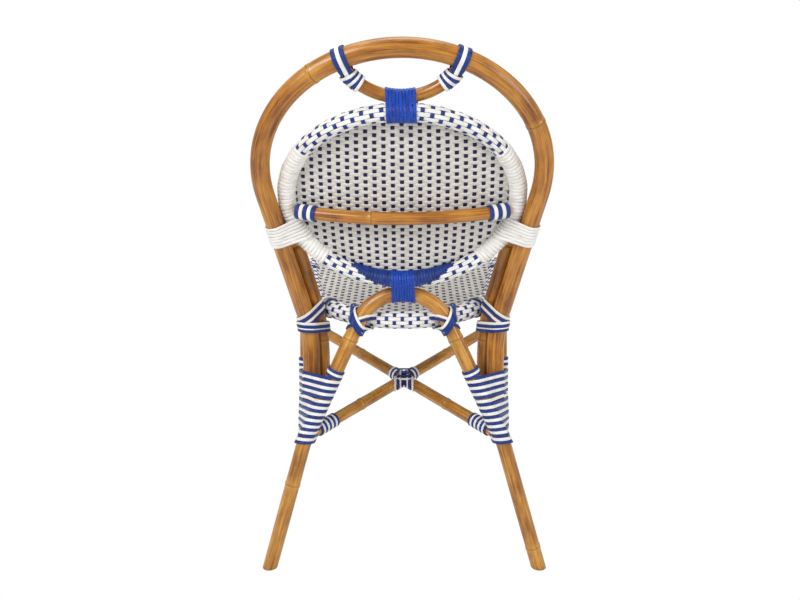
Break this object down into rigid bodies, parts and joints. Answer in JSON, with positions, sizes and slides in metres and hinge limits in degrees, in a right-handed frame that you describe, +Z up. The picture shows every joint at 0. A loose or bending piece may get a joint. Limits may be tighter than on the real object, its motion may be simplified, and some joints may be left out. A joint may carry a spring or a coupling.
{
  "type": "rattan bistro chair",
  "caption": "Bent-cane bistro side chair with a woven seat and oval back, an arched back frame with a hand hold, splayed legs and bound strand joints.",
  "frame": {"origin": "on the floor, at the centre of the chair's box", "axes": "+Z up; -Y is the way that the sitter faces, +X is the sitter's left"},
  "size_m": [0.51, 0.5508, 0.9163],
  "materials": {
    "honey_cane": "varnished rattan cane",
    "tan_cane": "varnished rattan cane, lighter",
    "woven_strand": "woven white and navy strand",
    "white_strand": "glossy white strand",
    "blue_strand": "glossy blue strand",
    "steel": "plain wire nail"
  },
  "bodies": {
    "root": {"back_arch": "honey_cane", "back_crossbar": "honey_cane", "backrest_frame": "honey_cane", "backrest_panel": "woven_strand", "backrest_rim_weave": "woven_strand", "bottom_centre_binding": "blue_strand", "bottom_rim_wrap_left": "blue_strand", "bottom_rim_wrap_right": "blue_strand", "brace_cane_left": "honey_cane", "brace_cane_right": "honey_cane", "crossbar_binding_blue_left": "blue_strand", "crossbar_binding_blue_right": "blue_strand", "crossbar_binding_white_left": "white_strand", "crossbar_binding_white_right": "white_strand", "front_lash_left": "blue_strand", "front_lash_right": "blue_strand", "front_sleeve_left": "white_strand", "front_sleeve_right": "white_strand", "handle_knot_blue_left": "blue_strand", "handle_knot_blue_right": "blue_strand", "handle_knot_white_left": "white_strand", "handle_knot_white_right": "white_strand", "handle_strap_left": "blue_strand", "handle_strap_right": "blue_strand", "hoop_collar_left": "blue_strand", "hoop_collar_right": "blue_strand", "hoop_lash_left": "blue_strand", "hoop_lash_right": "blue_strand", "leg_wrap_blue_left": "blue_strand", "leg_wrap_blue_right": "blue_strand", "leg_wrap_white_left": "white_strand", "leg_wrap_white_right": "white_strand", "post_lash_blue_left": "blue_strand", "post_lash_blue_right": "blue_strand", "post_lash_white_left": "white_strand", "post_lash_white_right": "white_strand", "rear_leg_hoop": "tan_cane", "rear_sleeve_blue_left": "blue_strand", "rear_sleeve_blue_right": "blue_strand", "rear_sleeve_white_left": "white_strand", "rear_sleeve_white_right": "white_strand", "seat_frame": "honey_cane", "seat_lash_left": "blue_strand", "seat_lash_right": "blue_strand", "seat_panel": "woven_strand", "seat_rim_weave": "woven_strand", "side_binding_left": "white_strand", "side_binding_right": "white_strand", "side_collar_left": "blue_strand", "side_collar_right": "blue_strand", "side_hoop_left": "tan_cane", "side_hoop_right": "tan_cane", "stretcher_crossing_nail": "steel", "stretcher_knot": "white_strand", "stretcher_left": "tan_cane", "stretcher_right": "tan_cane", "top_centre_binding": "blue_strand", "top_handle": "honey_cane"}
  },
  "joints": []
}
